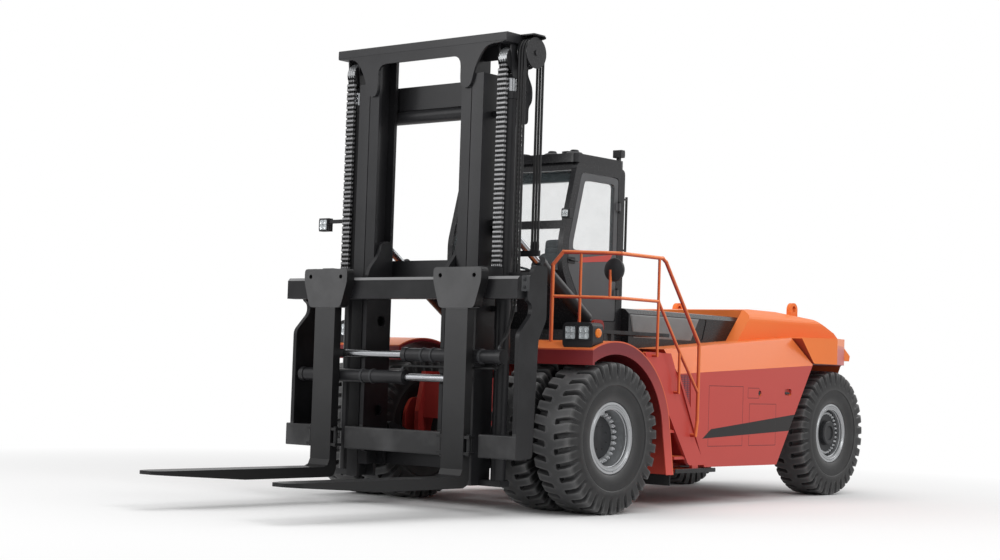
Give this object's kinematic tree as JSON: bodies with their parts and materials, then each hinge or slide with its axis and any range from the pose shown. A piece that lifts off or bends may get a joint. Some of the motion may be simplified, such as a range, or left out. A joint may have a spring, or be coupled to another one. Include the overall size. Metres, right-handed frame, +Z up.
{
  "type": "counterbalance forklift",
  "caption": "Heavy electric counterbalance forklift with twin front tyres, tilting two-stage chain mast, sliding forks, glazed cab and steered rear wheels",
  "frame": {"origin": "on the ground under the centre of the whole box", "axes": "+X to the truck's left, -Y forward along the forks, +Z up"},
  "size_m": [3.758, 10.35, 5],
  "materials": {
    "body_paint": "satin coral orange paint",
    "mast_paint": "satin black paint",
    "fork_steel": "satin dark grey paint",
    "chrome_rod": "hard chrome",
    "axle_paint": "black primer",
    "chain_steel": "oiled steel",
    "hose_rubber": "matt rubber",
    "black_paint": "satin black paint",
    "cab_glass": "clear safety glass",
    "seat_cloth": "dark grey cloth",
    "cab_plastic": "moulded plastic",
    "lamp_plastic": "black lamp housings",
    "tyre_rubber": "matt tyre rubber",
    "rim_paint": "silver paint"
  },
  "bodies": {
    "base": {"frame": "body_paint", "drive_axle": "axle_paint", "steer_axle": "axle_paint", "battery": "axle_paint", "fenders": "body_paint", "mud_flaps": "hose_rubber", "side_bodies": "body_paint", "ladders": "body_paint", "railing": "body_paint", "deck": "black_paint", "hood": "black_paint", "grilles": "black_paint", "counterweight": "body_paint", "cab_frame": "black_paint", "cab_roof": "black_paint", "cab_glass": "cab_glass", "seat": "seat_cloth", "console": "cab_plastic", "headlamps": "lamp_plastic", "work_lamps": "lamp_plastic", "mirror": "lamp_plastic"},
    "door": {"door": "black_paint", "door_glass": "cab_glass"},
    "mast_outer": {"mast_outer": "mast_paint", "lift_barrels": "mast_paint", "mast_lamp": "lamp_plastic", "chains_rear": "chain_steel", "hoses_rear": "hose_rubber"},
    "mast_inner": {"mast_inner": "mast_paint", "lift_rods": "chrome_rod", "chain_sheaves": "axle_paint", "hose_sheave": "black_paint"},
    "carriage": {"carriage": "mast_paint", "positioner_barrels": "mast_paint", "chains_front": "chain_steel", "hoses_front": "hose_rubber"},
    "fork_left": {"fork_left": "fork_steel", "rod_left": "chrome_rod"},
    "fork_right": {"fork_right": "fork_steel", "rod_right": "chrome_rod"},
    "tilt_barrel_left": {"tilt_barrel_left": "mast_paint"},
    "tilt_barrel_right": {"tilt_barrel_right": "mast_paint"},
    "tilt_rod_left": {"tilt_rod_left": "chrome_rod"},
    "tilt_rod_right": {"tilt_rod_right": "chrome_rod"},
    "wheel_front_left": {"tyres_front_left": "tyre_rubber", "rims_front_left": "rim_paint"},
    "wheel_front_right": {"tyres_front_right": "tyre_rubber", "rims_front_right": "rim_paint"},
    "knuckle_left": {"knuckle_left": "axle_paint"},
    "knuckle_right": {"knuckle_right": "axle_paint"},
    "wheel_rear_left": {"tyre_rear_left": "tyre_rubber", "rim_rear_left": "rim_paint"},
    "wheel_rear_right": {"tyre_rear_right": "tyre_rubber", "rim_rear_right": "rim_paint"}
  },
  "joints": [
    {"name": "mast_tilt", "type": "hinge", "parent": "base", "child": "mast_outer", "pos_m": [0, -1.525, 0.6], "axis": [1, 0, 0], "range_deg": [-10, 6]},
    {"name": "mast_lift", "type": "slide", "parent": "mast_outer", "child": "mast_inner", "axis": [0, 0, 1], "range_m": [-0.13, 1.75], "deforming": ["chains_rear", "hoses_rear"]},
    {"name": "carriage_lift", "type": "slide", "parent": "mast_inner", "child": "carriage", "axis": [0, 0, 1], "range_m": [-0.13, 1.75], "deforming": ["chains_front", "hoses_front"]},
    {"name": "fork_left_shift", "type": "slide", "parent": "carriage", "child": "fork_left", "axis": [1, 0, 0], "range_m": [-0.55, 0.4]},
    {"name": "fork_right_shift", "type": "slide", "parent": "carriage", "child": "fork_right", "axis": [-1, 0, 0], "range_m": [-0.55, 0.4]},
    {"name": "tilt_barrel_left_swing", "type": "hinge", "parent": "base", "child": "tilt_barrel_left", "pos_m": [0.985, -0.475, 2], "axis": [1, 0, 0], "range_deg": [-10, 6]},
    {"name": "tilt_rod_left_slide", "type": "slide", "parent": "tilt_barrel_left", "child": "tilt_rod_left", "axis": [0, -0.8403, 0.5421], "range_m": [-0.31, 0.19]},
    {"name": "tilt_barrel_right_swing", "type": "hinge", "parent": "base", "child": "tilt_barrel_right", "pos_m": [-0.985, -0.475, 2], "axis": [1, 0, 0], "range_deg": [-10, 6]},
    {"name": "tilt_rod_right_slide", "type": "slide", "parent": "tilt_barrel_right", "child": "tilt_rod_right", "axis": [0, -0.8403, 0.5421], "range_m": [-0.31, 0.19]},
    {"name": "door_hinge", "type": "hinge", "parent": "base", "child": "door", "pos_m": [0.872, 0.121, 2.9], "axis": [0, 0, 1], "range_deg": [0, 60]},
    {"name": "wheel_front_left_spin", "type": "hinge", "parent": "base", "child": "wheel_front_left", "pos_m": [1.33, -1.225, 0.8075], "axis": [1, 0, 0], "continuous": true},
    {"name": "wheel_front_right_spin", "type": "hinge", "parent": "base", "child": "wheel_front_right", "pos_m": [-1.33, -1.225, 0.8075], "axis": [1, 0, 0], "continuous": true},
    {"name": "steer_left", "type": "hinge", "parent": "base", "child": "knuckle_left", "pos_m": [0.78, 4.36, 0.8075], "axis": [0, 0, 1], "range_deg": [-55, 55]},
    {"name": "wheel_rear_left_spin", "type": "hinge", "parent": "knuckle_left", "child": "wheel_rear_left", "pos_m": [1.09, 4.36, 0.8075], "axis": [1, 0, 0], "continuous": true},
    {"name": "steer_right", "type": "hinge", "parent": "base", "child": "knuckle_right", "pos_m": [-0.78, 4.36, 0.8075], "axis": [0, 0, 1], "range_deg": [-55, 55]},
    {"name": "wheel_rear_right_spin", "type": "hinge", "parent": "knuckle_right", "child": "wheel_rear_right", "pos_m": [-1.09, 4.36, 0.8075], "axis": [1, 0, 0], "continuous": true}
  ],
  "couplings": [
    {"joint": "carriage_lift", "follows": "mast_lift", "ratio": 1},
    {"joint": "fork_right_shift", "follows": "fork_left_shift", "ratio": 1},
    {"joint": "tilt_barrel_left_swing", "follows": "mast_tilt", "ratio": 0.96},
    {"joint": "tilt_barrel_right_swing", "follows": "mast_tilt", "ratio": 0.96},
    {"joint": "tilt_rod_left_slide", "follows": "mast_tilt", "m_per_rad": 1.75},
    {"joint": "tilt_rod_right_slide", "follows": "mast_tilt", "m_per_rad": 1.75},
    {"joint": "steer_right", "follows": "steer_left", "ratio": 1}
  ]
}
